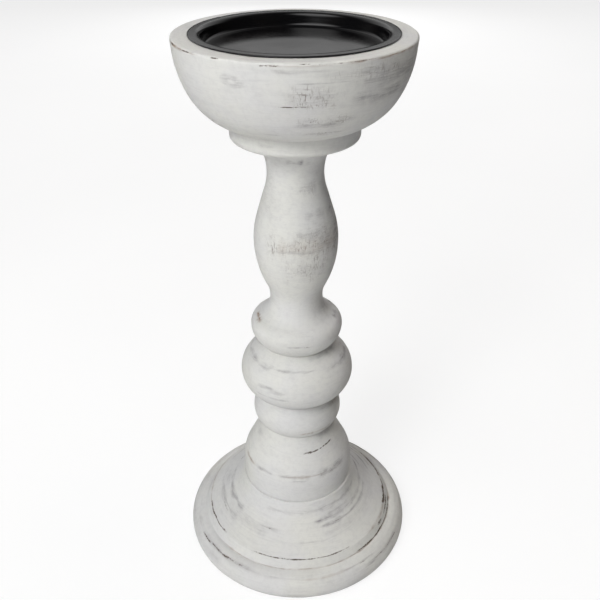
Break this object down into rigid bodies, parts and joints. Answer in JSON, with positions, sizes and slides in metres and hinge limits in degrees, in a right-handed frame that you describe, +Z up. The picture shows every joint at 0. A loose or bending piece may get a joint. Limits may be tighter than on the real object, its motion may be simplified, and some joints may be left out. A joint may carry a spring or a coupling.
{
  "type": "wooden candlestick",
  "caption": "Turned whitewashed wood holder for a pillar candle: moulded base, beaded stem and round bowl, with a lift-out black steel pan.",
  "frame": {"origin": "centre of the footprint on the surface that it stands on, at the underside of the felt pads", "axes": "+Z up along the turning axis; the holder is round, and -Y faces the viewer"},
  "size_m": [0.1336, 0.1336, 0.3007],
  "materials": {
    "whitewashed_wood": "thin chalky white wash over turned hardwood, rubbed through to dark wood on the edges",
    "black_steel": "satin black paint",
    "zinc_steel": "dull zinc plate",
    "felt": "pressed wool felt"
  },
  "bodies": {
    "holder": {"base": "whitewashed_wood", "stem": "whitewashed_wood", "bowl": "whitewashed_wood", "bowl_screw": "zinc_steel", "base_screw": "zinc_steel", "base_washer": "zinc_steel", "base_plug": "whitewashed_wood", "felt_pad_1": "felt", "felt_pad_2": "felt", "felt_pad_3": "felt", "felt_pad_4": "felt"},
    "pan": {"candle_pan": "black_steel"}
  },
  "joints": [
    {"name": "pan_lift", "type": "slide", "parent": "holder", "child": "pan", "axis": [0, 0, 1], "range_m": [0, 0.05]}
  ]
}
